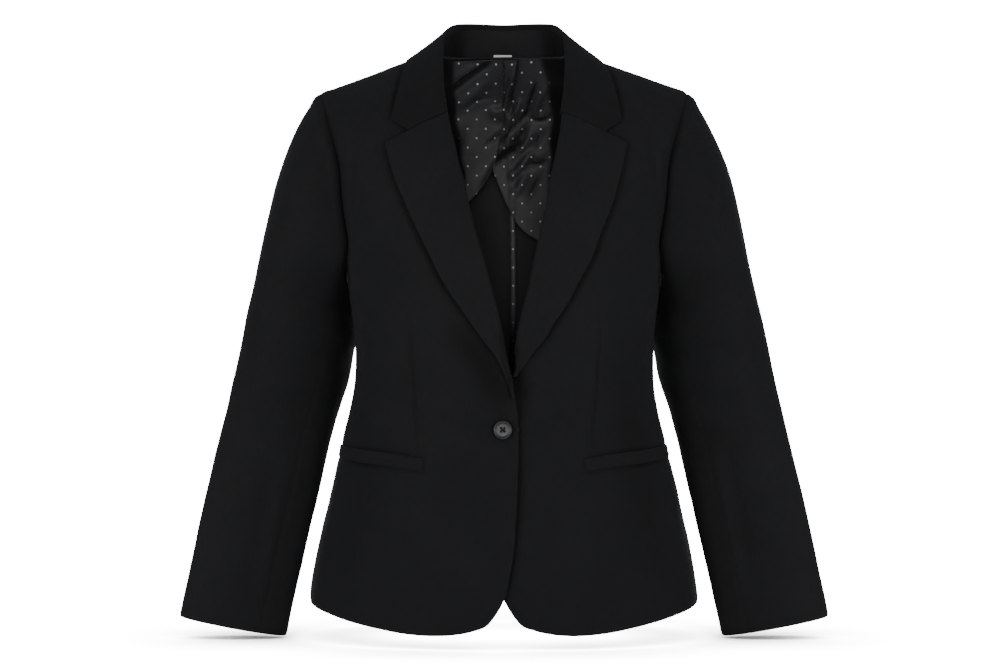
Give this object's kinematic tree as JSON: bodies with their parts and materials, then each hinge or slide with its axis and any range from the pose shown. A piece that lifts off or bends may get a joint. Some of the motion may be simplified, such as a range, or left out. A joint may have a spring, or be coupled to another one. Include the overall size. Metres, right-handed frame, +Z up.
{
  "type": "single breasted blazer",
  "caption": "Hollow worn-form blazer with notch lapels and a one-button front that wraps the body, open at neck, hem and cuffs.",
  "frame": {"origin": "midway between the shoulder seams, where the collar's edge crosses them, at the height at which the wearer's shoulders carry the blazer", "axes": "+X to the wearer's left, -Y to the front, +Z up"},
  "size_m": [0.7244, 0.2568, 0.6932],
  "materials": {
    "suiting": "matt fine plain weave, near black",
    "lining": "charcoal satin with small white dots",
    "button": "dark grey, four holes and a raised rim",
    "label": "off-white woven label, left blank"
  },
  "bodies": {
    "root": {"front_right": "suiting", "front_left": "suiting", "side_right": "suiting", "side_left": "suiting", "back_right": "suiting", "back_left": "suiting", "sleeve_upper_right": "suiting", "sleeve_upper_left": "suiting", "sleeve_under_right": "suiting", "sleeve_under_left": "suiting", "lapel_right": "suiting", "lapel_left": "suiting", "collar_fall": "suiting", "collar_stand": "suiting", "pocket_welt_right": "suiting", "pocket_welt_left": "suiting", "back_lining_right": "lining", "back_lining_left": "lining", "seam_binding": "lining", "button": "button", "neck_label": "label"}
  },
  "joints": []
}
